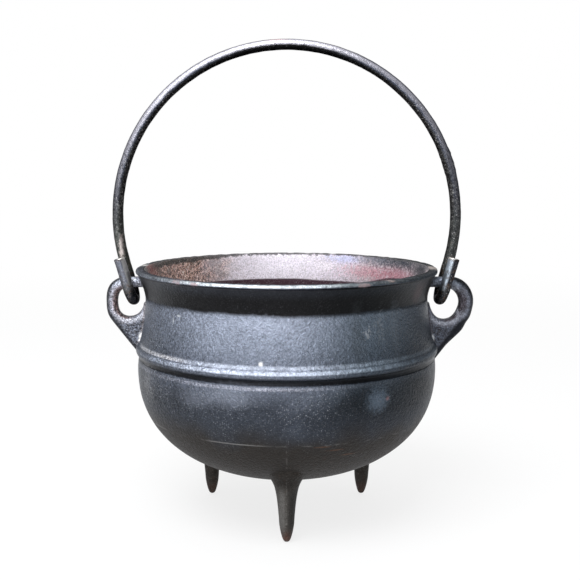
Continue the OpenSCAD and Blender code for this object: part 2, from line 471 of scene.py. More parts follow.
@dataclass(frozen=True)
class CastSkin:
    """Seasoned cast iron on the outside of the pot, dark slate with a soft gloss."""

    name: str = "seasoned cast iron"
    # Tones by height: the lowest two are partly soot and partly painted shade; the neck tone is partly,
    # and the top tone wholly, painted highlight.
    soot_and_shade: Colour = (0.031, 0.027, 0.024)
    dusk: Colour = (0.038, 0.044, 0.057)
    slate: Colour = (0.126, 0.143, 0.184)
    neck: Colour = (0.215, 0.243, 0.305)
    crown_highlight: Colour = (0.268, 0.300, 0.375)
    # Painted shade in the collar and the groove, and a painted highlight on the bead's crest.
    collar_shade: Colour = (0.014, 0.014, 0.015)
    groove: Colour = (0.004, 0.004, 0.005)
    crest_highlight: Colour = (0.60, 0.655, 0.785)
    speck: Colour = (0.52, 0.55, 0.61)
    rust: Colour = (0.075, 0.040, 0.028)
    grain_depth: float = 0.0014
    parting_z: float = 88.9
    tip_rust: float = 0.0
    speckle: float = 1.0
    rubbed_and_shaded: float = 0.0
    marks: tuple[Mark, ...] = ()

    def mould_lines(self, shade: Shade, place: Socket, x: Socket, z: Socket) -> Socket:
        """Mask the mould's lines, one level round the belly and one upright in front and behind.

        Args:
            shade: The material's tree.
            place: The object's coordinates.
            x: Their X part.
            z: Their Z part.

        Returns:
            The mask.
        """
        line_z = self.parting_z * MM
        level = shade.span(shade.math("ABSOLUTE", shade.math("SUBTRACT", z, line_z)),
                           0.0002, 0.0008, 1, 0)
        clear = shade.math("MAXIMUM", shade.band(x, -0.064, -0.056, -0.032, -0.004),
                           shade.span(x, -0.100, -0.090, 0.8, 0))
        broken = shade.span(shade.noise(place, 70), 0.48, 0.60, 0, 0.45)
        level = shade.math("MULTIPLY", level, shade.math("MAXIMUM", clear, broken))
        upright = shade.span(shade.math("ABSOLUTE", x), 0.0002, 0.0009, 1, 0)
        upright = shade.math("MULTIPLY", upright, shade.span(z, line_z - 0.002, line_z, 0.30, 0))
        upright = shade.math("MULTIPLY", upright, shade.span(shade.noise(place, 260), 0.46, 0.62))
        return shade.math("MAXIMUM", level, upright)

    def zones(self, shade: Shade, z: Socket, wander: Socket) -> Socket:
        """Colour the iron by height: soot and painted shade below, slate above, a neck partly lightened
        as painted highlight and a painted highlight band at the top.

        Args:
            shade: The material's tree.
            z: The height.
            wander: A noise that keeps the borders uneven.

        Returns:
            The colour.
        """
        drift = shade.math("MULTIPLY", shade.math("SUBTRACT", wander, 0.5), 0.012)
        drifting = shade.math("ADD", z, drift)
        # Darker below: partly soot, partly painted shade.
        tone = shade.mix(shade.span(drifting, 0.080, 0.108), self.soot_and_shade, self.dusk)
        tone = shade.mix(shade.span(drifting, 0.114, 0.141), tone, self.slate)
        # Painted highlight: the neck partly, and the top band under the collar wholly.
        tone = shade.mix(shade.span(z, 0.146, 0.170), tone, self.neck)
        return shade.mix(shade.span(z, 0.164, 0.184), tone, self.crown_highlight)

    def turned(self, shade: Shade, spot: Spot, tone: Socket,
               mottle: Socket) -> tuple[Socket, Socket, object]:
        """Paint shade into the collar and the groove, and highlights onto the bead and the lip.

        Args:
            shade: The material's tree.
            spot: The object's coordinates by axis.
            tone: The colour so far.
            mottle: A fine noise.

        Returns:
            The colour, a mask of the painted-shade bands and a mask of the lip's dull flat.
        """
        x, y, z = spot
        place = shade.place()
        # Painted shade in the groove under the bead.
        tilted = shade.math("SUBTRACT", z, shade.span(x, -0.100, -0.040, 0.0010, 0))
        groove = shade.band(tilted, 0.1354, 0.1368, 0.1386, 0.1428)
        tone = shade.mix(shade.math("MULTIPLY", groove, shade.span(x, 0.06, 0.10, 0.96, 0.80)), tone,
                         self.groove)
        # Painted shade: the collar under the lip is darkened, darkest in the middle with a bluish tint
        # just under the lip, standing in for a dark reflection.
        wander = shade.math("MULTIPLY", shade.math("SUBTRACT", shade.noise(place, 45, 3, 0.6), 0.5),
                            0.0035)
        wander = shade.math("ADD", wander, shade.span(shade.math("ABSOLUTE", x), 0.03, 0.07,
                                                      0.0010, 0))
        collar = shade.math("MULTIPLY", shade.span(shade.math("ADD", z, wander), 0.1846, 0.1892),
                            shade.span(z, 0.2066, 0.2084, 1, 0))
        under = shade.mix(shade.span(z, 0.197, 0.206), self.collar_shade, (0.034, 0.037, 0.046))
        middle = shade.math("MAXIMUM", shade.span(shade.math("ABSOLUTE", x), 0.03, 0.10, 0.45, 0),
                            shade.span(x, 0.098, 0.115, 0, 0.6))
        under = shade.mix(middle, under, (0.006, 0.006, 0.007))
        tone = shade.mix(collar, tone, under)
        # Painted highlight along the bead's crest and the fillet above it.
        bead = shade.band(z, 0.1437, 0.1450, 0.1464, 0.1480)
        fillet = shade.math("MULTIPLY", shade.band(z, 0.1470, 0.1486, 0.1496, 0.1516),
                            shade.span(shade.math("ABSOLUTE", x), 0.02, 0.06, 0.62, 0.75))
        crest = shade.math("MAXIMUM", bead, fillet)
        crest = shade.math("MULTIPLY", crest, shade.span(mottle, 0, 1, 0.75, 1))
        crest = shade.math("MULTIPLY", crest, shade.span(x, -0.123, -0.104, 0.3, 1))
        crest = shade.math("MULTIPLY", crest, shade.span(x, 0.030, 0.118, 1, 0.75))
        tone = shade.mix(crest, tone, self.crest_highlight)
        # Painted highlight: a broken white streak on the fillet at the left.
        fine = shade.noise(place, 620, 3, 0.8)
        rough = shade.math("MULTIPLY", shade.band(z, 0.1478, 0.1484, 0.1496, 0.1516),
                           shade.band(x, -0.121, -0.116, -0.095, -0.070))
        rough = shade.math("MULTIPLY", rough, shade.span(fine, 0.32, 0.50))
        tone = shade.mix(rough, tone, (1.0, 0.97, 1.0))
        # Painted highlight: a pale broken line along the belly's top edge under the groove.
        brow = shade.math("MULTIPLY", shade.band(z, 0.1318, 0.1333, 0.1345, 0.1355),
                          shade.span(x, -0.02, 0.05, 1, 0.3))
        brow = shade.math("MULTIPLY", brow, shade.span(fine, 0.42, 0.60, 0.15, 0.8))
        tone = shade.mix(brow, tone, (0.42, 0.43, 0.50))
        tone, flat = self.lip(shade, spot, tone, mottle)
        return tone, shade.math("MAXIMUM", groove, collar), flat

    def lip(self, shade: Shade, spot: Spot, tone: Socket,
            mottle: Socket) -> tuple[Socket, Socket]:
        """Paint a highlight on the lip's nose in front and shade under it and along its inner edge;
        leave its flat top dull and its back ragged.

        Args:
            shade: The material's tree.
            spot: The object's coordinates by axis.
            tone: The colour so far.
            mottle: A fine noise.

        Returns:
            The colour and a mask of the flat.
        """
        x, y, z = spot
        out = shade.hypot(x, y)
        chips = shade.noise(shade.place(), 420, 3, 0.7)
        top = shade.span(z, 0.2078, 0.2090)
        chips = shade.math("ADD", chips, shade.span(x, 0.04, 0.10, 0, 0.03))
        # Painted shade: a dark band just under the lip's nose, darker to the right.
        tone = shade.mix(shade.band(z, 0.2058, 0.2068, 0.2076, 0.2084), tone, shade.mix(
            shade.span(x, -0.01, 0.06), (0.048, 0.048, 0.056), (0.016, 0.015, 0.020)))
        tone = shade.mix(top, tone, shade.mix(shade.span(chips, 0.55, 0.66), (0.075, 0.078, 0.100),
                                              (0.30, 0.30, 0.34)))
        # Painted shade along the flat top's inner edge.
        tone = shade.mix(shade.math("MULTIPLY", top, shade.span(out, 0.1192, 0.1204, 1, 0)), tone,
                         (0.030, 0.022, 0.028))
        ragged = shade.mix(shade.span(chips, 0.46, 0.64), (0.030, 0.028, 0.029), (0.22, 0.21, 0.22))
        tone = shade.mix(shade.math("MULTIPLY", top, shade.span(y, -0.03, 0.05)), tone, ragged)
        # Painted highlight on the lip's nose, fading to the right and towards the back.
        high = shade.math("ADD", z, shade.span(x, 0.010, 0.050, 0.0006, 0.0003))
        nose = shade.math("MULTIPLY", shade.span(high, 0.2087, 0.2095),
                          shade.span(out, 0.1229, 0.1245))
        nose = shade.math("MULTIPLY", nose, shade.span(mottle, 0, 0.7, 0.7, 1))
        nose = shade.math("MULTIPLY", nose, shade.span(x, -0.118, -0.045, 0.25, 1))
        nose = shade.math("MULTIPLY", nose, shade.span(x, 0.020, 0.070, 1, 0.12))
        nose = shade.math("MULTIPLY", nose, shade.span(y, -0.04, 0.03, 1, 0.1))
        chipped = shade.math("MULTIPLY", shade.band(x, 0.024, 0.036, 0.090, 0.105),
                             shade.span(chips, 0.47, 0.60, 0, 0.75))
        chipped = shade.math("MULTIPLY", shade.math("MULTIPLY", chipped, shade.span(
            z, 0.2080, 0.2088)), shade.span(y, -0.03, -0.02, 1, 0))
        tone = shade.mix(chipped, tone, (0.40, 0.375, 0.39))
        flat = shade.math("MULTIPLY", top, shade.math("SUBTRACT", 1.0, nose))
        return shade.mix(nose, tone, (0.88, 0.95, 1.0)), flat

    def side_light_and_shade(self, shade: Shade, x: Socket, z: Socket, tone: Socket) -> Socket:
        """Paint shade onto the right half and the far left, above the sooty part."""
        right = shade.mix(shade.span(x, -0.004, 0.066), (1, 1, 1), (0.36, 0.41, 0.42))
        right = shade.mix(shade.span(x, 0.066, 0.106), right, (0.15, 0.175, 0.185))
        left = shade.mix(shade.span(x, -0.110, -0.045), (0.40, 0.415, 0.43), (1, 1, 1))
        right = shade.mix(1.0, right, shade.mix(shade.math("MULTIPLY", shade.span(
            z, 0.126, 0.136, 1, 0), shade.span(x, 0, 0.05)), (1, 1, 1), (0.66, 0.67, 0.66)), "MULTIPLY")
        sides = shade.mix(1.0, right, left, "MULTIPLY")
        sides = shade.mix(shade.span(z, 0.085, 0.125), (1, 1, 1), sides)
        return shade.mix(1.0, tone, sides, "MULTIPLY")

    def make(self) -> bpy.types.Material:
        """Build the material.

        Returns:
            The new material.
        """
        made = bpy.data.materials.new(self.name)
        made.use_nodes = True
        shade = Shade(made.node_tree)
        place = shade.place()
        x, y, z = shade.axes(place)
        drift = DRIFT.use(shade, Place=place, Fineness=26.0)
        grain = GRAIN.use(shade, Place=place, Fineness=820.0)
        tone = self.zones(shade, z, drift["Broad"])
        tone, dark, flat = self.turned(shade, (x, y, z), tone, drift["Mottle"])
        tone = self.side_light_and_shade(shade, x, z, tone)
        tone = self.age(shade, place, z, tone, drift, grain)
        speck_share = shade.math("MULTIPLY", grain["Specks"],
                                 shade.span(drift["Broad"], 0, 1, 0.4 * self.speckle, self.speckle))
        speck_share = shade.math("MULTIPLY", speck_share, shade.span(dark, 0, 1, 1, 0.12))
        speck_share = shade.math("MULTIPLY", speck_share, shade.span(x, -0.11, -0.05, 1, 0.5))
        tone = shade.mix(speck_share, tone, self.speck_tone(shade, x, z))
        # Front leg: its own tone, with painted shade on the right half and a painted highlight on a
        # narrow upright band left of the front.
        if self.rubbed_and_shaded:
            leg_zone = shade.math("MULTIPLY", shade.span(z, 0.036, 0.052, 1, 0), self.rubbed_and_shaded)
            leg_zone = shade.math("MULTIPLY", leg_zone, shade.span(z, 0.005, 0.017, 0.2, 1))
            tone = shade.mix(leg_zone, tone, (0.088, 0.083, 0.077))
            tone = shade.mix(shade.math("MULTIPLY", leg_zone, shade.span(x, -0.001, 0.003)), tone,
                             (0.020, 0.019, 0.018))
            tone = shade.mix(shade.math("MULTIPLY", leg_zone, shade.band(x, -0.007, -0.005, -0.003, 0.0)),
                             tone, (0.130, 0.125, 0.120))
        seam = self.mould_lines(shade, place, x, z)
        tone = shade.mix(shade.math("MULTIPLY", seam, 0.6), tone, (0.24, 0.235, 0.23))
        height = shade.math("ADD", shade.math("MULTIPLY", grain["Height"], shade.span(
            dark, 0, 1, 1, 0.18)), shade.math("MULTIPLY", seam, 0.6))
        bump = shade.add("ShaderNodeBump", {"Strength": 0.85, "Distance": self.grain_depth,
                                            "Height": height})
        dull = shade.span(z, 0.07, 0.13, 0.50, 0.29)
        dull = shade.math("ADD", dull, shade.math("MULTIPLY", drift["Mottle"], 0.06))
        dull = shade.math("ADD", dull, shade.math("MULTIPLY", flat, 0.40))
        skin = shade.add("ShaderNodeBsdfPrincipled", {
            "Base Color": tone, "Roughness": dull, "Normal": bump.outputs[0], "IOR": 1.5,
            "Metallic": 0.8, "Specular IOR Level": 0.3, "Specular Tint": (0.85, 0.86, 0.88)})
        shade.add("ShaderNodeOutputMaterial", {"Surface": skin.outputs[0]})
        return made

    def speck_tone(self, shade: Shade, x: Socket, z: Socket) -> Socket:
        """Colour the specks, duller low down and, as painted shade, to the right."""
        low = shade.mix(shade.span(z, 0.075, 0.115), (0.16, 0.155, 0.15), self.speck)
        return shade.mix(shade.span(x, 0.02, 0.08), low, (0.20, 0.215, 0.235))

    def age(self, shade: Shade, place: Socket, z: Socket, tone: Socket, drift: dict[str, Socket],
            grain: dict[str, Socket]) -> Socket:
        """Add mottle, pits, rust and the marks of use.

        Args:
            shade: The material's tree.
            place: The object's coordinates.
            z: The height.
            tone: The colour so far.
            drift: The outputs of the tone drift.
            grain: The outputs of the sand grain.

        Returns:
            The colour.
        """
        tone = shade.mix(0.30, tone, shade.mix(drift["Mottle"], (0.3, 0.3, 0.3), (1, 1, 1)),
                         "MULTIPLY")
        x = shade.axes(place)[0]
        pepper = shade.span(shade.noise(place, 640, 3, 0.85), 0.38, 0.62)
        share = shade.math("MULTIPLY", shade.span(x, -0.105, -0.040, 0.95, 0.25),
                           shade.span(z, 0.09, 0.12, 0.5, 1))
        tone = shade.mix(share, tone, shade.mix(pepper, (0.38, 0.38, 0.40), (2.0, 2.0, 2.0)),
                         "MULTIPLY")
        tone = shade.mix(shade.math("MULTIPLY", grain["Pits"], 0.6), tone, (0.010, 0.010, 0.011))
        low = shade.math("MULTIPLY", shade.span(z, 0.05, 0.095, 1, 0), drift["Broad"])
        rust_at = shade.span(shade.noise(place, 260, 4, 0.7), 0.55, 0.72)
        tone = shade.mix(shade.math("MULTIPLY", low, shade.math("MULTIPLY", rust_at, 0.6)), tone,
                         self.rust)
        if self.tip_rust:
            wear_and_sheen = shade.math("MULTIPLY", shade.span(z, 0.004, 0.017, self.tip_rust, 0),
                              shade.span(drift["Mottle"], 0.05, 0.7, 0.5, 1))
            tone = shade.mix(wear_and_sheen, tone, (0.11, 0.050, 0.035))
        for mark in self.marks:
            tone = mark.lay(shade, place, tone)
        return tone


@dataclass(frozen=True)
class EarSkin(CastSkin):
    """The same iron on the ears, pale on their front and back faces, with painted highlights and
    painted shade on the loop and the web.
    """

    name: str = "rubbed cast iron"
    speckle: float = 1.2
    eye_x: float = 132.6
    eye_z: float = 180.8
    web_slope: float = 52.0
    face: Colour = (0.360, 0.370, 0.430)
    dull: Colour = (0.190, 0.180, 0.195)
    web: Colour = (0.190, 0.205, 0.250)
    web_dull: Colour = (0.070, 0.064, 0.068)
    brown: Colour = (0.230, 0.130, 0.105)
    # The colour of the painted shade on the edges.
    edge: Colour = (0.020, 0.021, 0.026)

    def turned(self, shade: Shade, spot: Spot, tone: Socket,
               mottle: Socket) -> tuple[Socket, Socket, object]:
        """Paint highlights onto the loop's top, under the eye and along the left ear's crease, and
        paint shade onto the edges and the right ear's crease.

        Args:
            shade: The material's tree.
            spot: The object's coordinates by axis.
            tone: The colour so far; not used.
            mottle: A fine noise.

        Returns:
            The colour, a mask of the painted-shade edges and 0, as an ear has no lip.
        """
        x, y, z = spot
        place = shade.place()
        aside = shade.math("SUBTRACT", shade.math("ABSOLUTE", x), self.eye_x * MM)
        up = shade.math("SUBTRACT", z, self.eye_z * MM)
        tight = shade.math("MULTIPLY", shade.span(aside, 0.003, 0.012, 0, 0.0025),
                           shade.band(up, -0.017, -0.002, 0.002, 0.017))
        fuller = shade.span(aside, 0.0125, 0.0180, 0, -0.0029)
        aside = shade.math("ADD", aside, shade.math("ADD", shade.math(
            "MULTIPLY", tight, shade.span(x, -0.01, 0.01, 1, 0)), shade.math(
                "MULTIPLY", fuller, shade.span(x, -0.01, 0.01))))
        up = shade.math("ADD", up, shade.math("MULTIPLY", shade.span(
            up, -0.0144, -0.004, 0.0024, 0), shade.span(x, -0.01, 0.01)))
        out = shade.hypot(aside, up)
        sine, cosine = math.sin(math.radians(self.web_slope)), math.cos(math.radians(self.web_slope))
        past = shade.math("MAXIMUM", shade.math("SUBTRACT", shade.math("MULTIPLY", aside, sine),
                                                shade.math("MULTIPLY", up, cosine)), 0.0)
        along = shade.math("MAXIMUM", shade.math("ADD", shade.math("MULTIPLY", aside, cosine),
                                                 shade.math("MULTIPLY", up, sine)), 0.0)
        patchy = shade.span(shade.noise(place, 560, 4, 0.8), 0.38, 0.60)
        tone = shade.mix(patchy, self.dull, self.face)
        tone = shade.mix(shade.span(out, 0.0175, 0.0205), tone,
                         shade.mix(patchy, self.web_dull, self.web))
        inner = shade.math("MULTIPLY", shade.span(out, 0.0140, 0.0178, 0.8, 0),
                           shade.span(aside, -0.006, 0.004))
        brown = shade.mix(shade.span(x, -0.01, 0.01), self.brown, (0.140, 0.105, 0.110))
        tone = shade.mix(inner, tone, shade.mix(patchy, (0.05, 0.028, 0.024), brown))
        # Painted highlight on top of the loop.
        crown_highlight = shade.math("MULTIPLY", shade.span(up, 0.011, 0.018, 0, 0.8),
                           shade.span(aside, -0.012, -0.004))
        tone = shade.mix(crown_highlight, tone, shade.mix(patchy, (0.46, 0.49, 0.56), (0.62, 0.66, 0.75)))
        # Painted highlight on the arc under the eye.
        arc = shade.math("MULTIPLY", shade.band(out, 0.0136, 0.0148, 0.0156, 0.0178),
                         shade.span(up, -0.012, -0.006, 0.75, 0))
        tone = shade.mix(arc, tone, (0.60, 0.60, 0.65))
        # Along the web's crease with the neck: painted highlight on the left ear, painted shade on the
        # right.
        neck = shade.math("POWER", shade.math("DIVIDE", shade.math("SUBTRACT", 0.1867, z), 0.0385),
                          1.9)
        off = shade.math("SUBTRACT", aside, shade.math("SUBTRACT", shade.math(
            "MULTIPLY", neck, 0.0061), 0.0149))
        crease = shade.mix(shade.span(x, -0.01, 0.01), (0.55, 0.50, 0.50), (0.14, 0.13, 0.14))
        tone = shade.mix(shade.span(off, 0.0006, 0.0026, 0.6, 0), tone,
                         shade.mix(patchy, (0.12, 0.09, 0.08), crease))
        # Painted shade on the rounded edges, found from how far the surface turns away from the faces.
        wobble = shade.math("MULTIPLY", shade.math("SUBTRACT", mottle, 0.5), 0.0012)
        reach = shade.math("ADD", shade.hypot(past, along), wobble)
        low = shade.span(along, 0.0, 0.006, 0.0168, 0.0180)
        edges = shade.span(reach, low, shade.math("ADD", low, 0.0032))
        facing = shade.math("ABSOLUTE", shade.axes(shade.add(
            "ShaderNodeTexCoord").outputs["Normal"])[1])
        edges = shade.math("MAXIMUM", edges, shade.span(facing, 0.20, 0.55, 0.6, 0))
        return shade.mix(edges, tone, self.edge), shade.math("MULTIPLY", edges, 0.7), 0.0

    def side_light_and_shade(self, shade: Shade, x: Socket, z: Socket, tone: Socket) -> Socket:
        """Paint shade onto the right ear and the lower part of the left ear, and light onto the upper
        part of the left ear.
        """
        right = shade.mix(shade.span(z, 0.168, 0.174), (0.55, 0.58, 0.62), (0.45, 0.48, 0.52))
        left = shade.mix(shade.span(z, 0.168, 0.174), (0.82, 0.84, 0.86), (1.06, 1.06, 1.08))
        side = shade.mix(shade.span(x, -0.02, 0.02), left, right)
        return shade.mix(1.0, tone, side, "MULTIPLY")


@dataclass(frozen=True)
class PotInside:
    """The inside of the pot: old seasoning over reddish, rough iron."""

    name: str = "inside seasoning"
    marks: tuple[Mark, ...] = ()

    def make(self) -> bpy.types.Material:
        """Build the material.

        Returns:
            The new material.
        """
        made = bpy.data.materials.new(self.name)
        made.use_nodes = True
        shade = Shade(made.node_tree)
        place = shade.place()
        x, y, z = shade.axes(place)
        drift = DRIFT.use(shade, Place=place, Fineness=38.0)
        grain = GRAIN.use(shade, Place=place, Fineness=900.0)
        tone = shade.mix(drift["Broad"], (0.42, 0.34, 0.34), (0.56, 0.47, 0.49))
        tone = shade.mix(shade.math("MULTIPLY", drift["Mottle"], 0.6), tone, (0.66, 0.60, 0.64))
        for mark in self.marks:
            tone = mark.lay(shade, place, tone)
        grit = shade.noise(place, 430, 4, 0.85)
        rusty = shade.mix(shade.span(grit, 0.42, 0.53), (0.016, 0.015, 0.012), (0.64, 0.38, 0.29))
        rusty = shade.mix(shade.span(grit, 0.55, 0.62), rusty, (1.0, 0.90, 0.82))
        rusty = shade.mix(shade.span(shade.noise(place, 110, 3, 0.6), 0.50, 0.64, 0, 0.6), rusty,
                          (0.045, 0.050, 0.044))
        left = shade.math("ADD", x, shade.math("MULTIPLY", shade.math(
            "SUBTRACT", drift["Broad"], 0.5), 0.02))
        tone = shade.mix(shade.span(left, -0.086, -0.048, 0.9, 0), tone, rusty)
        edge = shade.math("ADD", z, shade.math("MULTIPLY", shade.math(
            "SUBTRACT", shade.noise(place, 230, 4, 0.8), 0.5), 0.009))
        edge = shade.math("ADD", edge, shade.span(x, -0.10, -0.03, 0.0034, 0))
        tone = shade.mix(shade.span(edge, 0.2084, 0.2100, 0, 0.9), tone, shade.mix(
            shade.span(x, -0.07, -0.01), (0.026, 0.027, 0.024), (0.060, 0.057, 0.062)))
        sand = shade.span(shade.noise(place, 860, 3, 0.8), 0.36, 0.60, 0, 1)
        rest = shade.span(shade.math("ABSOLUTE", x), 0.02, 0.09, 0.62, 0.40)
        sand = shade.math("ADD", rest, shade.math("MULTIPLY", sand, shade.math("SUBTRACT", 1.0, rest)))
        tone = shade.mix(1.0, tone, shade.mix(sand, (0, 0, 0), (1.12, 1.11, 1.14)), "MULTIPLY")
        corner = Mark((-113, 12, 206), 17, (0.20, 0.040, 0.036), 0.75, ragged=0.9)
        tone = corner.lay(shade, place, tone)
        # Painted shade: the far wall below the throat, seen past the front lip, is darkened.
        rise = shade.math("SUBTRACT", z, shade.span(x, 0.065, 0.100, 0, 0.0082))
        rise = shade.math("ADD", rise, shade.span(x, 0.005, 0.035, 0.0006, 0.0017))
        deep = shade.span(rise, 0.1866, 0.1880, 1, 0)
        tone = shade.mix(deep, tone, (0.072, 0.034, 0.048))
        tone = shade.mix(shade.math("MULTIPLY", grain["Pits"], 0.7), tone, (0.02, 0.014, 0.012))
        tone = shade.mix(shade.math("MULTIPLY", grain["Specks"], 0.5), tone, (0.75, 0.70, 0.72))
        bump = shade.add("ShaderNodeBump", {"Strength": 1.0, "Distance": 0.0005,
                                            "Height": grain["Height"]})
        dull = shade.math("ADD", 0.42, shade.math("MULTIPLY", drift["Mottle"], 0.16))
        skin = shade.add("ShaderNodeBsdfPrincipled", {
            "Base Color": tone, "Roughness": dull, "Normal": bump.outputs[0], "IOR": 1.5,
            "Specular IOR Level": 0.4})
        shade.add("ShaderNodeOutputMaterial", {"Surface": skin.outputs[0]})
        return made


@dataclass(frozen=True)
class ForgedBar:
    """The bail's bar: black forge scale, with a painted highlight along its outer side."""

    name: str = "forged bar"
    bow_r: float = 142.6
    bow_z: float = 251.5
    marks: tuple[Mark, ...] = ()

    def free_ends(self, shade: Shade, x: Socket, y: Socket, z: Socket, tone: Socket) -> Socket:
        """Paint light and shade onto the two free ends, in front of the ears, and lighten their cut
        tips.

        Args:
            shade: The material's tree.
            x: The X coordinate.
            y: The Y coordinate.
            z: The height.
            tone: The colour so far.

        Returns:
            The colour.
        """
        front = shade.span(y, -0.008, -0.004, 1, 0)
        lean = shade.math("MULTIPLY", shade.math("SUBTRACT", z, 0.1931), 0.2867)
        middle = shade.math("MULTIPLY", shade.math("ADD", lean, 0.1316), shade.math("SIGN", x))
        half = shade.span(shade.math("SUBTRACT", x, middle), -0.0018, 0.0004, 1, 0)
        half = shade.math("MULTIPLY", half, shade.span(z, 0.190, 0.200))
        tip = shade.span(z, 0.2176, 0.2184)
        half = shade.math("MULTIPLY", half, shade.span(x, -0.01, 0.01, 0, 1))
        side = shade.math("MULTIPLY", shade.span(shade.math("SUBTRACT", x, middle), 0.0012, 0.0026),
                          shade.math("MULTIPLY", shade.span(z, 0.190, 0.200), shade.span(
                              x, -0.01, 0.01, 0.8, 0)))
        low = shade.span(z, 0.188, 0.204)
        # Painted light and shade: the left stub lighter, the right stub darker.
        tone = shade.mix(shade.math("MULTIPLY", front, low), tone, shade.mix(
            shade.span(x, -0.01, 0.01), (0.120, 0.128, 0.155), (0.022, 0.024, 0.030)))
        # Painted highlights: the right stub's left half and the left stub's right edge.
        tone = shade.mix(shade.math("MULTIPLY", front, half), tone, (0.36, 0.41, 0.47))
        tone = shade.mix(shade.math("MULTIPLY", front, side), tone, (0.55, 0.54, 0.54))
        return shade.mix(shade.math("MULTIPLY", front, tip), tone, (0.75, 0.73, 0.70))

    def make(self) -> bpy.types.Material:
        """Build the material.

        Returns:
            The new material.
        """
        made = bpy.data.materials.new(self.name)
        made.use_nodes = True
        shade = Shade(made.node_tree)
        place = shade.place()
        x, y, z = shade.axes(place)
        drift = DRIFT.use(shade, Place=place, Fineness=60.0)
        grain = GRAIN.use(shade, Place=place, Fineness=700.0)
        up = shade.math("SUBTRACT", z, self.bow_z * MM)
        out = shade.math("SUBTRACT", shade.hypot(x, up), self.bow_r * MM)
        ragged = shade.math("MULTIPLY", shade.math("SUBTRACT", shade.noise(place, 160, 3, 0.6), 0.5),
                            0.0022)
        # Painted highlight along the bar's outer side, strongest on top and to the left.
        outer = shade.span(shade.math("ADD", out, ragged), -0.0010, 0.0014)
        wear_and_sheen = shade.math("MULTIPLY", outer, shade.span(z, 0.26, 0.37, 0.08, 1))
        wear_and_sheen = shade.math("MULTIPLY", wear_and_sheen, shade.span(x, 0.0, 0.09, 1, 0.52))
        wear_and_sheen = shade.math("MULTIPLY", wear_and_sheen, shade.math("SUBTRACT", 1.0, shade.math(
            "MULTIPLY", shade.band(x, -0.105, -0.085, -0.055, -0.030), 0.22)))
        wear_and_sheen = shade.math("MULTIPLY", wear_and_sheen, shade.span(out, 0.0033, 0.0045, 0.94, 0.22))
        wear_and_sheen = shade.math("MULTIPLY", wear_and_sheen, shade.math("MAXIMUM", shade.span(
            x, 0.04, 0.09, 1, 0), shade.span(out, 0.0026, 0.0038, 1, 0.3)))
        scale = shade.span(x, 0.02, 0.13, 0.026, 0.048)
        scale = shade.math("MULTIPLY", scale, shade.span(z, 0.35, 0.39, 1, 0.25))
        tone = shade.mix(drift["Mottle"], (0.006, 0.006, 0.007), scale)
        # Painted sheen, dimmer, between the highlight and the dark inner side.
        blue = shade.math("MULTIPLY", shade.span(shade.math("ADD", out, ragged), -0.0026, 0.0),
                          shade.band(z, 0.22, 0.33, 0.375, 0.392))
        tone = shade.mix(blue, tone, (0.040, 0.046, 0.066))
        tone = shade.mix(wear_and_sheen, tone, (0.66, 0.65, 0.73))
        shank = shade.band(z, 0.186, 0.200, 0.225, 0.275)
        tone = shade.mix(shade.math("MULTIPLY", shank, 0.85), tone, shade.mix(
            shade.span(x, -0.01, 0.01), (0.072, 0.078, 0.070), (0.046, 0.050, 0.048)))
        grit = shade.noise(place, 300, 4, 0.85)
        low = shade.span(z, 0.29, 0.36, 1, 0)
        tone = shade.mix(shade.math("MULTIPLY", shade.span(grit, 0.38, 0.50, 0.75, 0), low), tone,
                         (0.010, 0.010, 0.011))
        tone = shade.mix(shade.math("MULTIPLY", shade.span(grit, 0.54, 0.64, 0, 0.6), low), tone,
                         (0.160, 0.160, 0.155))
        tone = self.free_ends(shade, x, y, z, tone)
        low = shade.span(z, 0.19, 0.25, 1, 0)
        rust_at = shade.span(shade.noise(place, 300, 4, 0.7), 0.5, 0.68)
        tone = shade.mix(shade.math("MULTIPLY", low, rust_at), tone, (0.075, 0.045, 0.028))
        for mark in self.marks:
            tone = mark.lay(shade, place, tone)
        specks = shade.math("MULTIPLY", grain["Specks"], shade.span(z, 0.34, 0.39, 0.8, 0.15))
        tone = shade.mix(specks, tone, (0.35, 0.34, 0.35))
        bump = shade.add("ShaderNodeBump", {"Strength": 0.9, "Distance": 0.00035,
                                            "Height": grain["Height"]})
        dull = shade.math("ADD", 0.33, shade.math("MULTIPLY", drift["Mottle"], 0.14))
        skin = shade.add("ShaderNodeBsdfPrincipled", {
            "Base Color": tone, "Roughness": dull, "Normal": bump.outputs[0], "IOR": 1.5,
            "Metallic": 0.9, "Specular IOR Level": 0.1, "Specular Tint": (0.3, 0.3, 0.32)})
        shade.add("ShaderNodeOutputMaterial", {"Surface": skin.outputs[0]})
        return made


# The pot


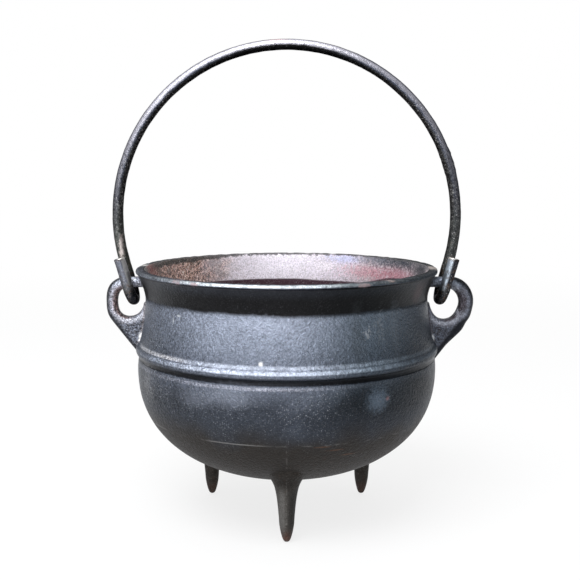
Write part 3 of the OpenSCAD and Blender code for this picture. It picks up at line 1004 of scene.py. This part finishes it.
@dataclass
class Shell:
    """The pot's body with its belly, bead, neck and rim. Sizes are in millimetres."""

    height: float = 210.5
    belly_r: float = 125.0
    belly_z: float = 126.7
    bottom_z: float = 36.6
    power_z: float = 2.23
    power_r: float = 2.29
    wall: float = 4.8
    floor_t: float = 5.4
    neck_r: float = 117.7
    neck_z: float = 186.7
    lip_r: float = 125.5
    lip_flat: float = 5.8
    lip_nose: float = 1.9
    bead_r: float = 126.6
    bead_z: float = 143.4
    bead_sec: float = 4.4
    bead_foot_r: float = 123.8
    bead_from: float = 148.2
    groove_r: float = 124.1
    around: int = 288

    def bowl(self, r: float, z: float, depth: float, count: int) -> Line:
        """Trace a quarter superellipse from the side down to the axis.

        Args:
            r: The radius at the side.
            z: The height of the side.
            depth: The drop to the lowest point.
            count: The number of steps.

        Returns:
            The points of the line.
        """
        turns = [math.pi / 2 * i / count for i in range(count)]
        line = [(r * math.cos(a) ** (2 / self.power_r), z - depth * math.sin(a) ** (2 / self.power_z))
                for a in turns]
        return line + [(0.0, z - depth)]

    def flare(self, low: tuple[float, float], high: tuple[float, float], power: float,
              count: int) -> Line:
        """Trace a hollow flare from its top down to the neck.

        Args:
            low: Radius and height at the neck.
            high: Radius and height at the lip.
            power: How late the flare turns outwards.
            count: The number of steps.

        Returns:
            The points of the line.
        """
        shares = [i / count for i in range(count, -1, -1)]
        return [(low[0] + (high[0] - low[0]) * s ** power, low[1] + (high[1] - low[1]) * s)
                for s in shares]

    def neck(self, top: float, foot: float, count: int) -> Line:
        """Trace the neck wall from the crease down to the bead.

        Args:
            top: The radius at the crease.
            foot: The radius above the bead.
            count: The number of steps.

        Returns:
            The points of the line.
        """
        shares = [i / count for i in range(count + 1)]
        return [(top + (foot - top) * s ** 1.9, self.neck_z + (self.bead_from - self.neck_z) * s)
                for s in shares]

    def shoulder(self, top: float, side: float, z: float, count: int) -> Line:
        """Trace the upper belly from the groove down to the widest height.

        Args:
            top: The radius at the groove.
            side: The radius at the widest height.
            z: The height of the groove.
            count: The number of steps.

        Returns:
            The points of the line.
        """
        shares = [i / count for i in range(count)]
        return [(side - (side - top) * (1 - s) ** 2, z + (self.belly_z - z) * s) for s in shares]

    def arc(self, centre: tuple[float, float], r: float, start: float, end: float,
            count: int) -> Line:
        """Trace an arc.

        Args:
            centre: Its centre in radius and height.
            r: Its radius.
            start: Its first angle in degrees.
            end: Its last angle in degrees.
            count: The number of steps.

        Returns:
            The points of the line.
        """
        turns = [math.radians(start + (end - start) * i / count) for i in range(count + 1)]
        return [(centre[0] + r * math.cos(a), centre[1] + r * math.sin(a)) for a in turns]

    def outer_line(self) -> Line:
        """Trace the outside from the lip's nose down to the axis.

        Returns:
            The points of the line.
        """
        nose = (self.lip_r - self.lip_nose, self.height - self.lip_nose)
        end = math.radians(-55)
        under = (nose[0] + self.lip_nose * math.cos(end) - 0.4,
                 nose[1] + self.lip_nose * math.sin(end) - 0.2)
        groove_z = self.bead_z - self.bead_sec
        bead = (self.bead_r - self.bead_sec, self.bead_z)
        return [*self.arc(nose, self.lip_nose, 90, -55, 12),
                *self.flare((self.neck_r, self.neck_z), under, 1.5, 18)[:-1],
                *self.neck(self.neck_r, self.bead_foot_r, 20),
                *self.arc(bead, self.bead_sec, 58, -62, 16),
                *self.shoulder(self.groove_r, self.belly_r, groove_z - 0.4, 8),
                *self.bowl(self.belly_r, self.belly_z, self.belly_z - self.bottom_z, 64)]

    def inner_line(self) -> Line:
        """Trace the inside from the lip's inner edge down to the axis.

        Returns:
            The points of the line.
        """
        face_r = self.lip_r - self.lip_nose - self.lip_flat
        throat = (self.neck_r - self.wall, self.neck_z + 1.6)
        groove_z = self.bead_z - self.bead_sec
        foot = self.bead_foot_r - self.wall
        return [(face_r + 0.7, self.height), (face_r + 0.1, self.height - 0.3),
                (face_r - 0.2, self.height - 0.9),
                *self.flare(throat, (face_r - 1.2, self.height - 3), 1.35, 14),
                (throat[0] - 0.3, throat[1] - 1.2),
                *self.neck(throat[0], foot, 14)[1:],
                *self.shoulder(foot + 0.5, self.belly_r - self.wall, groove_z, 6),
                *self.bowl(self.belly_r - self.wall, self.belly_z,
                           self.belly_z - self.bottom_z - self.floor_t, 40)]

    def radius(self, z: float) -> float:
        """Return the outside radius at a height above the belly's widest part."""
        line = [p for p in self.outer_line() if p[1] > self.belly_z - 20]
        for (r0, z0), (r1, z1) in zip(line, line[1:]):
            if z1 <= z <= z0 and z0 > z1:
                return r1 + (r0 - r1) * (z - z1) / (z0 - z1)
        return line[-1][0] if z < line[-1][1] else self.lip_r

    def patch(self, top: float, foot: float, azimuth: float, half: float,
              sink: float = 0.45) -> bmesh.types.BMesh:
        """Cut a slab out of the wall, just under the outside, for a limb to grow from.

        Args:
            top: The slab's highest point.
            foot: The slab's lowest point.
            azimuth: The direction of its middle, in degrees from +X.
            half: Half of its width in degrees.
            sink: How far its outside lies under the shell's.

        Returns:
            The closed slab.
        """
        line = [p for p in self.outer_line() if foot <= p[1] <= top and p[0] > 20]
        ring = line_offset(line, sink) + line_offset(line, 3.2)[::-1]
        bm = bmesh.new()
        first = chain(bm, [Vector((r, 0, z)) for r, z in ring], True)
        turn = Matrix.Rotation(math.radians(azimuth - half), 3, "Z")
        bmesh.ops.rotate(bm, cent=(0, 0, 0), matrix=turn, verts=bm.verts)
        spin(bm, first, Vector((0, 0, 0)), Vector((0, 0, 1)), 2 * half, 40)
        cap(bm)
        return bm

    def build(self, outside: bpy.types.Material, inside: bpy.types.Material) -> bpy.types.Object:
        """Spin the shell and give its two faces their finishes.

        Args:
            outside: The finish of the outside and the lip.
            inside: The finish of the inside.

        Returns:
            The shell.
        """
        line = self.outer_line()[::-1] + self.inner_line()
        bm = lathe(line, self.around)
        bm.normal_update()
        for face in bm.faces:
            middle, normal = face.calc_center_median(), face.normal
            inward = normal.x * middle.x + normal.y * middle.y
            face.material_index = int(inward < -3 or (middle.z < 90 and normal.z > 0.3))
        as_cast(bm)
        for v in bm.verts:  # the rim is rougher than the rest, most of all at the back
            if v.co.z > self.height - 6:
                share = 0.5 + 0.5 * max(0, v.co.y) / self.lip_r
                v.co.z += min(0.0, share * (0.9 * noise.noise(v.co / 7) - 0.15))
        return to_object(bm, "shell_casting", [outside, inside])


@dataclass
class Ear:
    """One cast ear: a round loop with its web and upper arm. Sizes are in millimetres."""

    side: Side
    shell: Shell
    eye_x: float = 132.6
    eye_z: float = 180.8
    eye_r: float = 12.2
    loop_sec: float = 5.05
    arm_sec: float = 4.65
    web_t: float = 8.4
    web_slope: float = 52.0

    def loop(self) -> bmesh.types.BMesh:
        """Spin the loop from its upper arm round the outside to the body."""
        bm = bmesh.new()
        ring = bmesh.ops.create_circle(bm, cap_ends=False, segments=32, radius=self.loop_sec)
        out = self.eye_r + 4.9
        bmesh.ops.translate(bm, vec=(out, 0, 0), verts=ring["verts"])
        bmesh.ops.rotate(bm, cent=(0, 0, 0), matrix=Matrix.Rotation(math.radians(90), 3, "X"),
                         verts=ring["verts"])
        bmesh.ops.rotate(bm, cent=(0, 0, 0), matrix=Matrix.Rotation(math.radians(-90), 3, "X"),
                         verts=ring["verts"])
        bmesh.ops.rotate(bm, cent=(0, 0, 0), matrix=Matrix.Rotation(math.radians(-90), 3, "Y"),
                         verts=ring["verts"])
        spin(bm, list(bm.verts) + list(bm.edges), Vector((0, 0, 0)), Vector((0, 1, 0)), 270, 60)
        bmesh.ops.translate(bm, vec=(self.eye_x, 0, self.eye_z), verts=bm.verts)
        cap(bm)
        return bm

    def rod(self, start: Vector, way: Vector, r: float) -> bmesh.types.BMesh:
        """Make a closed round rod.

        Args:
            start: The middle of its first end.
            way: The way to its other end.
            r: Its radius.

        Returns:
            The rod.
        """
        bm = bmesh.new()
        turn = way.to_track_quat("Z", "Y").to_matrix().to_4x4()
        bmesh.ops.create_cone(bm, cap_ends=True, segments=32, radius1=r, radius2=r,
                              depth=way.length,
                              matrix=Matrix.Translation(start + way / 2) @ turn)
        return bm

    def web(self) -> bmesh.types.BMesh:
        """Extrude the web's outline, from its round lower edge to the body."""
        slope = math.radians(self.web_slope)
        edge = self.eye_r + 4.9 * 2 - self.web_t / 2
        tip = Vector((self.eye_x + edge * math.sin(slope), 0, self.eye_z - edge * math.cos(slope)))
        run = 40 / math.cos(slope)
        foot = tip - Vector((math.cos(slope), 0, math.sin(slope))) * run
        rim = self.shell.arc((self.eye_x, self.eye_z), self.eye_r + 0.4, -38, -180, 30)
        outline = [Vector((x, 0, z)) for x, z in rim]
        outline += [Vector((100, 0, self.eye_z)), Vector((100, 0, foot.z)), foot, tip]
        bm = bmesh.new()
        first = chain(bm, [p + Vector((0, -self.web_t / 2, 0)) for p in outline], True)
        run_on(bm, first, Vector((0, self.web_t, 0)), 1)
        cap(bm)
        join(bm, self.rod(tip, foot - tip, self.web_t / 2))
        return bm

    def uneven(self, bm: bmesh.types.BMesh) -> None:
        """Shift the limb as the sand let it: fuller and lower on the right, tighter on the left.

        Args:
            bm: The limb, which still stands to the right.
        """
        slope = math.radians(self.web_slope)
        normal = Vector((math.sin(slope), 0, -math.cos(slope)))
        for v in bm.verts:
            aside, up = v.co.x - self.eye_x, v.co.z - self.eye_z
            if self.side is Side.RIGHT:
                ring = eased((math.hypot(aside, up) - 12.5) / 5.5) * eased(aside / 12)
                edge = aside * normal.x + up * normal.z
                v.co += normal * 1.5 * eased((edge - 16.5) / 4.5) * eased((-up - 13) / 8)
                v.co.x += 2.9 * ring
                v.co.z -= 2.4 * eased((-up - 4) / 8)
            else:
                v.co.x -= 2.6 * eased((aside - 2) / 11) * eased(1 - abs(up) / 19)

    def build(self, finish: bpy.types.Material) -> bpy.types.Object:
        """Fuse the ear with a slab of the wall.

        Args:
            finish: The casting's finish.

        Returns:
            The ear.
        """
        bm = self.loop()
        arm_z = self.eye_z + self.eye_r + 4.6
        join(bm, self.rod(Vector((108, 0, arm_z)), Vector((self.eye_x - 108, 0, 0)), self.arm_sec))
        join(bm, self.web())
        bm = fuse(bm, 0.7, 0)
        self.uneven(bm)
        for v in bm.verts:  # the roots end inside the wall
            depth = self.shell.radius(v.co.z) - 3
            v.co.x = max(v.co.x, math.sqrt(max(0, depth ** 2 - v.co.y ** 2)))
        if self.side is Side.LEFT:
            bmesh.ops.scale(bm, vec=(-1, 1, 1), verts=bm.verts)
            bmesh.ops.recalc_face_normals(bm, faces=bm.faces)
        azimuth = 0 if self.side is Side.RIGHT else 180
        join(bm, self.shell.patch(207, 123, azimuth, 12))
        bm = fuse(bm, 0.6, 14)
        as_cast(bm)
        return to_object(bm, f"{self.side.name.lower()}_ear_casting", [finish])


@dataclass
class PotLeg:
    """One round leg with a blunt point and a flare into the belly. Sizes are in millimetres."""

    which: Leg
    shell: Shell
    out: float = 77.8
    tip: Line = field(default_factory=lambda: [(0, 0), (1.2, 0.05), (2.0, 0.5), (3.1, 2),
                                               (4.2, 5.4), (5.2, 9.6), (6.0, 14.5)])
    shaft: Line = field(default_factory=lambda: [(6.5, 22), (7.1, 29), (7.9, 36), (8.9, 42)])
    root: Line = field(default_factory=lambda: [(9.9, 46), (11.4, 49.5), (13.4, 53), (15.4, 56.5),
                                                (17, 59), (17, 66), (0, 66)])

    def build(self, finish: bpy.types.Material) -> bpy.types.Object:
        """Fuse the leg with a slab of the belly.

        Args:
            finish: The casting's finish.

        Returns:
            The leg.
        """
        bm = lathe(self.tip + self.shaft + self.root, 48)
        bmesh.ops.bisect_plane(bm, geom=list(bm.verts) + list(bm.edges) + list(bm.faces),
                               dist=0.001, plane_co=(0, 0, 62), plane_no=(0, 0, 1),
                               clear_outer=True, clear_inner=False)
        cap(bm)
        bmesh.ops.translate(bm, vec=(0, -self.out, 0), verts=bm.verts)
        bm.faces.ensure_lookup_table()
        for v in bm.verts:  # the flare ends inside the belly's wall
            r = math.hypot(v.co.x, v.co.y)
            limit = self.belly_height(r) + 3
            v.co.z = min(v.co.z, limit)
        turn = Matrix.Rotation(math.radians(self.which.value), 3, "Z")
        bmesh.ops.rotate(bm, cent=(0, 0, 0), matrix=turn, verts=bm.verts)
        azimuth = -90 + self.which.value
        join(bm, self.shell.patch(72, 38.6, azimuth, 20))
        bm = fuse(bm, 0.6, 12)
        root = [v for v in bm.verts if v.co.z > 43]
        for _ in range(11):  # a wide fillet where the leg grows from the belly
            bmesh.ops.smooth_vert(bm, verts=root, factor=0.5, use_axis_x=True, use_axis_y=True,
                                  use_axis_z=True)
        as_cast(bm)
        for v in bm.verts:
            v.co.z = max(v.co.z, 0.0)
        return to_object(bm, f"{self.which.name.lower()}_leg_casting", [finish])

    def belly_height(self, r: float) -> float:
        """Return the height of the belly's underside at a radius."""
        shell = self.shell
        share = max(0.0, 1 - (min(r, shell.belly_r) / shell.belly_r) ** shell.power_r)
        return shell.belly_z - (shell.belly_z - shell.bottom_z) * share ** (1 / shell.power_z)


# The bail


@dataclass
class Bail:
    """The bail: a round bar bent to a bow with a hook at each end. Sizes are in millimetres."""

    bar_r: float = 4.65
    bow_r: float = 142.6
    bow_z: float = 251.5
    below: float = 16.0
    hook_r: float = 10.6
    shank: float = 19.9
    stub: float = 26.5

    def build(self, finish: bpy.types.Material) -> bpy.types.Object:
        """Sweep the right half of the bar, mirror it and work it over.

        Args:
            finish: The bar's finish.

        Returns:
            The bail.
        """
        lean = Matrix.Rotation(math.radians(self.below), 3, "Y")
        end = math.radians(self.below)
        top = Vector((self.bow_r * math.cos(end), self.hook_r,
                      self.bow_z - self.bow_r * math.sin(end)))
        up, across = lean @ Vector((0, 0, 1)), lean @ Vector((1, 0, 0))
        bend = top - up * self.shank + Vector((0, -self.hook_r, 0))
        bm = bmesh.new()
        ring = bmesh.ops.create_circle(bm, cap_ends=True, segments=32, radius=self.bar_r)
        bmesh.ops.rotate(bm, cent=(0, 0, 0), matrix=lean, verts=ring["verts"])
        start = bend + Vector((0, -self.hook_r, 0)) + up * self.stub
        bmesh.ops.translate(bm, vec=start, verts=ring["verts"])
        face = bm.faces[:][0]
        geom = list(face.verts) + list(face.edges)
        rim = list(face.edges)
        geom = run_on(bm, geom, -up * self.stub, 16)
        geom = spin(bm, geom, bend, across, 180, 26)
        geom = run_on(bm, geom, up * self.shank, 12)
        geom = spin(bm, geom, Vector((0, self.hook_r, self.bow_z)), Vector((0, 1, 0)),
                    -(90 + self.below), 150)
        bmesh.ops.bevel(bm, geom=[e for e in rim if e.is_valid], offset=0.7, offset_type="OFFSET",
                        segments=3, profile=0.5, affect="EDGES", material=-1)
        for v in bm.verts:
            if abs(v.co.x) < 0.05 and v.co.z > self.bow_z:
                v.co.x = 0
        geom = list(bm.verts) + list(bm.edges) + list(bm.faces)
        bmesh.ops.mirror(bm, geom=geom, matrix=Matrix.Identity(4), merge_dist=0.02, axis="X")
        bmesh.ops.recalc_face_normals(bm, faces=bm.faces)
        bm.normal_update()
        for v in bm.verts:  # hammer marks and scale
            v.co += v.normal * (0.16 * noise.noise(v.co / 9) + 0.09 * noise.noise(v.co / 3.5) - 0.08)
            near = 1 - ((v.co - Vector((138, self.hook_r - 2, 298))).length / 13) ** 4
            if near > 0:  # a rough lump of scale on the right
                v.co += v.normal * near * (0.42 + 0.6 * noise.noise(v.co / 2.6))
        return to_object(bm, "bail_bar", [finish])


# The stage


@dataclass(frozen=True)
class Softbox:
    """A soft rectangular lamp that shines at a point, in metres."""

    name: str
    place: Colour
    aim: Colour
    size: tuple[float, float]
    power: float
    colour: Colour = (1, 1, 1)

    def hang(self) -> None:
        """Put the lamp into the scene, out of the camera's sight."""
        lamp = bpy.data.lights.new(self.name, "AREA")
        lamp.shape = "RECTANGLE"
        lamp.size, lamp.size_y = self.size
        lamp.energy = self.power
        lamp.color = self.colour
        obj = bpy.data.objects.new(self.name, lamp)
        obj.location = self.place
        way = Vector(self.aim) - Vector(self.place)
        obj.rotation_euler = way.to_track_quat("-Z", "Y").to_euler()
        obj.visible_camera = False
        bpy.context.scene.collection.objects.link(obj)


@dataclass(frozen=True)
class Stage:
    """The floor, the lamps, the surroundings and the camera."""

    floor_half: float = 40.0
    floor_tone: Colour = (0.86, 0.86, 0.86)
    dim: float = 0.24
    eye: Colour = (0.0, -0.8444, 0.3032)
    pitch: float = 7.592
    focal_px: float = 1010.9
    frame_px: float = 580.0
    centre_u: float = 286.7
    lamps: tuple[Softbox, ...] = (
        Softbox("sky box", (-0.45, -1.0, 1.75), (0, 0, 0.18), (1.3, 1.0), 31, (0.97, 0.985, 1.0)),
        Softbox("front strip", (-0.6, -1.75, 0.26), (0, 0, 0.17), (2.6, 0.46), 19, (0.97, 0.985, 1.0)),
        Softbox("left box", (-1.7, -0.35, 0.45), (0, 0, 0.18), (1.1, 0.7), 3, (0.97, 0.985, 1.0)),
    )

    def build(self) -> None:
        """Build the whole stage."""
        self.lay_floor()
        self.light_world()
        for lamp in self.lamps:
            lamp.hang()
        self.set_camera()

    def lay_floor(self) -> None:
        """Lay a plain pale floor."""
        bm = bmesh.new()
        bmesh.ops.create_grid(bm, x_segments=1, y_segments=1, size=self.floor_half / MM)
        made = bpy.data.materials.new("pale floor")
        made.use_nodes = True
        shade = Shade(made.node_tree)
        matt = shade.add("ShaderNodeBsdfPrincipled", {"Base Color": self.floor_tone,
                                                      "Roughness": 0.9})
        white = shade.add("ShaderNodeEmission", {"Color": (1, 1, 1), "Strength": 1.0})
        path = shade.add("ShaderNodeLightPath")
        seen = shade.math("ADD_C", path.outputs["Is Camera Ray"],
                          shade.math("ADD", path.outputs["Is Glossy Ray"],
                                     path.outputs["Is Transmission Ray"]))
        away = shade.add("ShaderNodeVectorMath", {0: shade.place()}, operation="LENGTH")
        share = shade.span(away.outputs["Value"], 0.4, 2.0, 0.78, 1.0)
        both = shade.add("ShaderNodeMixShader", {0: shade.math("MULTIPLY", seen, share),
                                                 1: matt.outputs[0], 2: white.outputs[0]})
        shade.add("ShaderNodeOutputMaterial", {"Surface": both.outputs[0]})
        to_object(bm, "floor", [made])

    def light_world(self) -> None:
        """Light the room: white behind the pot, pale above and to the left, dimmer elsewhere."""
        world = bpy.data.worlds.new("surroundings")
        bpy.context.scene.world = world
        world.use_nodes = True
        shade = Shade(world.node_tree)
        way = shade.add("ShaderNodeTexCoord").outputs["Generated"]
        x, y, z = shade.axes(way)
        left = shade.span(x, -0.9, 0.25, 0.4, self.dim)
        above = shade.span(z, 0.2, 0.95, self.dim, 1.0)
        behind = shade.span(y, 0.70, 0.92, self.dim, 1.0)
        strength = shade.math("MAXIMUM", left, shade.math("MAXIMUM", above, behind))
        sky = shade.add("ShaderNodeBackground", {"Color": (1, 1, 1), "Strength": strength})
        shade.add("ShaderNodeOutputWorld", {"Surface": sky.outputs[0]})

    def set_camera(self) -> None:
        """Set the camera at the place from which the pot is seen."""
        cam = bpy.data.cameras.new("camera")
        cam.sensor_width = 36
        cam.lens = self.focal_px / self.frame_px * cam.sensor_width
        cam.shift_x = (self.frame_px / 2 - self.centre_u) / self.frame_px
        obj = bpy.data.objects.new("camera", cam)
        obj.location = self.eye
        obj.rotation_euler = (math.radians(90 - self.pitch), 0, 0)
        bpy.context.scene.collection.objects.link(obj)
        bpy.context.scene.camera = obj


def place(piece: bpy.types.Object, body: str, node: str, slot: str) -> None:
    """Put a piece in the place of a CAD node and report it.

    Args:
        piece: The finished piece.
        body: The body that it rides on.
        node: The CAD node that it stands for.
        slot: The record's material slot; not used.
    """
    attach(piece, body)
    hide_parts(node)
    LOG.info("%s stands for %s: %d faces", piece.name, node, len(piece.data.polygons))


def main() -> None:
    """Build the stage, the pot and the bail."""
    logging.basicConfig(level=logging.INFO, format="%(name)s: %(message)s")
    bpy.context.scene.view_settings.view_transform = "Standard"
    Stage().build()
    build_grain()
    build_drift()
    build_mark()
    glints = (Mark((-122.8, -5.5, 151), 3.0, (1.0, 1.0, 1.0), 1.0, (1, 1.2, 1.9), 0.25),
              Mark((122.8, -5.5, 150.5), 2.6, (0.72, 0.76, 0.80), 0.9, (1, 1.2, 1.4), 0.3))
    skin = CastSkin(speckle=0.85, marks=glints + (
        # Painted shade at the front leg's root.
        Mark((4, -80, 53), 17, (0.016, 0.014, 0.012), 0.6, ragged=0.6),
        Mark((-123, -16, 117), 10, (0.090, 0.095, 0.100), 0.45, (1, 2, 1.4), 0.5),
        Mark((-111, -58, 125), 11, (0.30, 0.30, 0.31), 0.35, (0.8, 0.8, 1.5), 2.0),
        # Painted highlight on the belly's top at the left.
        Mark((-43, -117, 127.5), 22, (0.25, 0.275, 0.335), 0.32, (1.2, 1, 0.5), 0.3),
        Mark((68.5, -103.7, 121.2), 13, (0.14, 0.185, 0.245), 0.5, (1, 1, 0.9), 0.4),
        Mark((75.7, -98.5, 121.5), 2.2, (0.26, 0.15, 0.16), 0.8),
        Mark((6, -121.4, 101.5), 12, (0.10, 0.12, 0.16), 0.15, (1, 1, 0.9), 0.5),
        # Painted highlight on the belly's top at the left.
        Mark((-68, -104, 122), 18, (0.20, 0.22, 0.27), 0.3, (1.3, 1, 0.5), 0.5),
        # Painted highlight on the neck under the collar.
        Mark((-15, -117, 180), 22, (0.36, 0.40, 0.50), 0.4, (1, 1, 0.35), 0.5),
        Mark((52, -106, 168), 24, (0.040, 0.047, 0.052), 0.35, (0.33, 0.33, 1.3), 0.5),
        Mark((82, -86, 171), 22, (0.110, 0.128, 0.150), 0.30, (0.3, 0.3, 1.2), 0.5),
        Mark((-18.8, -120.2, 151.8), 2.4, (1, 1, 1), 1.0, (1, 1, 1), 0.02),
        Mark((-86.3, -79.4, 177), 1.6, (0.62, 0.65, 0.70), 0.9, (0.8, 0.8, 3.4), 0.15),
        Mark((-82.0, -84.2, 182.0), 1.4, (0.62, 0.65, 0.70), 0.8, (2.2, 2.2, 0.8), 0.15),
        Mark((26.3, -112.4, 87.5), 4, (0.12, 0.06, 0.035), 0.6, (2.2, 1.5, 0.2), 0.3),
        Mark((36.3, -107.6, 83.8), 4, (0.12, 0.06, 0.035), 0.6, (2.2, 1.5, 0.2), 0.3),
        Mark((46.6, -99.6, 78.2), 4, (0.12, 0.06, 0.035), 0.6, (2.2, 1.5, 0.2), 0.3),
        Mark((60.5, -103, 171.5), 2.8, (0.40, 0.43, 0.46), 0.5, ragged=2.6),
        Mark((70, -96, 175), 4.0, (0.20, 0.22, 0.24), 0.35, (1, 1, 2.4), 2.4),
        Mark((104, -62, 197), 11, (0.045, 0.020, 0.020), 0.6, ragged=0.8),
        Mark((-82, -93, 209), 2.6, (0.42, 0.31, 0.33), 0.8, (2, 2, 0.8), 0.9),
        Mark((-68, -104, 208.8), 2.4, (0.42, 0.31, 0.33), 0.8, (2, 2, 0.8), 0.9),
        Mark((56, -111, 208.8), 2.6, (0.38, 0.29, 0.30), 0.8, (2.4, 2, 0.8), 0.9),
        Mark((77, -95, 210), 2.2, (0.45, 0.36, 0.34), 0.8, (2, 2, 0.8), 0.9),
        Mark((121, -8, 210.5), 9, (0.52, 0.46, 0.43), 0.8, (0.9, 1.8, 0.32), 1.0),
        Mark((-121, 12, 210.5), 6, (0.70, 0.68, 0.66), 0.8, (0.8, 1.5, 0.5), 0.9),
    )).make()
    # Painted shade where the front leg grows from the belly.
    root = Mark((4, -80, 53), 17, (0.016, 0.014, 0.012), 0.6, ragged=0.6)
    leg_skin = CastSkin(name="worn cast iron", tip_rust=0.8, soot_and_shade=(0.031, 0.027, 0.024),
                        rubbed_and_shaded=0.75, marks=(root,)).make()
    rear_skin = CastSkin(name="sooty cast iron", tip_rust=0.25).make()
    ear_skin = EarSkin(marks=glints + (
        # Painted highlight on the lower edge of the right ear's eye.
        Mark((142, -4, 173), 3.5, (0.50, 0.52, 0.60), 0.6, (1, 1.5, 1.2), 0.6),
        Mark((140, -4, 192), 4, (0.34, 0.36, 0.42), 0.6, (1.5, 1.5, 0.8), 0.6),
    )).make()
    inside = PotInside(marks=(
        # The first four marks are a painted highlight on the far wall.
        Mark((-6, 114, 200), 80, (0.98, 0.93, 1.0), 1.0, (1.1, 0.6, 0.6), 0.5),
        Mark((-40, 107, 202), 22, (0.66, 0.62, 0.68), 0.4, (1.2, 0.8, 0.5), 0.5),
        Mark((50, 103, 203), 44, (0.85, 0.78, 0.88), 0.6, (1, 0.6, 0.6), 0.5),
        Mark((36, 106, 199), 12, (1.0, 0.95, 1.0), 0.8, (1, 1, 0.5), 0.4),
        Mark((54, 101, 207), 24, (0.58, 0.64, 0.95), 0.6, (1, 1, 0.25), 0.6),
        Mark((76, 86, 196), 32, (0.66, 0.33, 0.38), 0.7, (1.1, 1, 0.26), 1.0),
        Mark((100, 58, 197), 36, (0.46, 0.19, 0.23), 0.85, (1, 1, 0.28), 1.0),
        Mark((86, 78, 209), 32, (0.13, 0.15, 0.19), 0.85, (1, 1, 0.30), 0.7),
        Mark((-86, 80, 206), 13, (0.040, 0.050, 0.044), 0.8, (1, 1, 0.35), 1.2),
        Mark((103, 52, 209), 36, (0.026, 0.034, 0.048), 1.0, (1, 1, 0.27), 0.5),
        Mark((116, 14, 206), 32, (0.022, 0.026, 0.036), 1.0, (1, 1, 0.48), 0.3),
    )).make()
    bar = ForgedBar(marks=(
        Mark((-8, 4, 398), 10, (0.98, 0.70, 0.68), 0.55, (1.3, 1, 0.32), 0.6),
        Mark((-139.5, 7, 226), 6, (0.55, 0.48, 0.46), 0.6, (0.5, 1, 2.2), 0.9),
    )).make()
    shell = Shell()
    place(shell.build(skin, inside), "pot", "pot_shell", "casting")
    for side in Side:
        place(Ear(side, shell).build(ear_skin), "pot", f"{side.name.lower()}_ear", "casting")
    for which in Leg:
        finish = leg_skin if which is Leg.FRONT else rear_skin
        place(PotLeg(which, shell).build(finish), "pot", f"{which.name.lower()}_leg", "casting")
    place(Bail().build(bar), "bail", "bail", "bail_bar")


if __name__ == "__main__":
    main()
